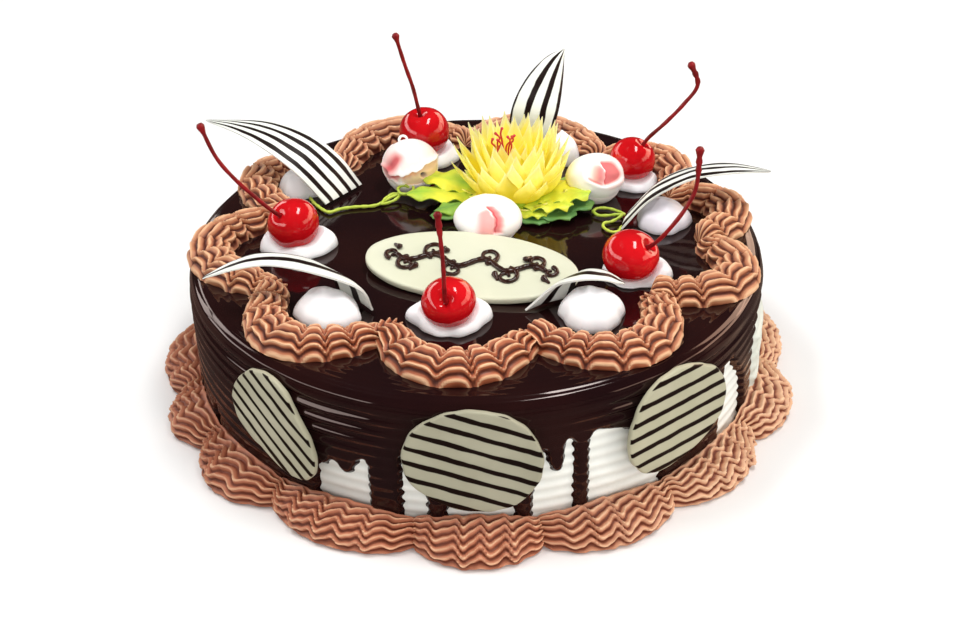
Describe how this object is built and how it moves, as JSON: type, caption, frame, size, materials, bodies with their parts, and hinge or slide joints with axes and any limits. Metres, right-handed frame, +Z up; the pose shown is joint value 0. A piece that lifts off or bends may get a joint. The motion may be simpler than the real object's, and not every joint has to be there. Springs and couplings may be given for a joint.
{
  "type": "birthday cake",
  "caption": "Round birthday cake with a dark chocolate glaze, piped borders, cherries on cream, striped chocolate curls and discs, sugar roses, a yellow flower and an oval plaque.",
  "frame": {"origin": "centre of the cake's flat underside, on its axis", "axes": "+Z up along the cake's axis, -Y towards the cake's front, where its plaque is read from, +X to the right as seen from the front"},
  "size_m": [0.2274, 0.227, 0.1043],
  "materials": {
    "cream_icing": "soft satin",
    "dark_glaze": "mirror gloss",
    "mocha_piping": "satin",
    "whipped_cream": "satin",
    "red_cherry": "wet gloss",
    "cherry_stem": "satin",
    "striped_disc": "satin, with thin dark stripes",
    "striped_curl": "satin, with dark stripes",
    "sugar_rose": "matte",
    "yellow_petals": "matte",
    "green_leaves": "matte",
    "plaque_chocolate": "satin"
  },
  "bodies": {
    "root": {"cake_body": "cream_icing", "chocolate_glaze": "dark_glaze", "top_border": "mocha_piping", "base_border": "mocha_piping", "disc_1": "striped_disc", "disc_2": "striped_disc", "disc_3": "striped_disc", "dollop_1": "whipped_cream", "dollop_2": "whipped_cream", "dollop_3": "whipped_cream", "dollop_4": "whipped_cream", "dollop_5": "whipped_cream", "dollop_6": "whipped_cream", "dollop_7": "whipped_cream", "dollop_8": "whipped_cream", "dollop_9": "whipped_cream", "dollop_10": "whipped_cream", "cherry_1": "red_cherry", "cherry_2": "red_cherry", "cherry_3": "red_cherry", "cherry_4": "red_cherry", "cherry_5": "red_cherry", "stem_1": "cherry_stem", "stem_2": "cherry_stem", "stem_3": "cherry_stem", "stem_4": "cherry_stem", "stem_5": "cherry_stem", "curl_1": "striped_curl", "curl_2": "striped_curl", "curl_3": "striped_curl", "curl_4": "striped_curl", "curl_5": "striped_curl", "rose_1": "sugar_rose", "rose_2": "sugar_rose", "rose_3": "sugar_rose", "flower_leaves": "green_leaves", "flower": "yellow_petals", "plaque": "plaque_chocolate"}
  },
  "joints": []
}
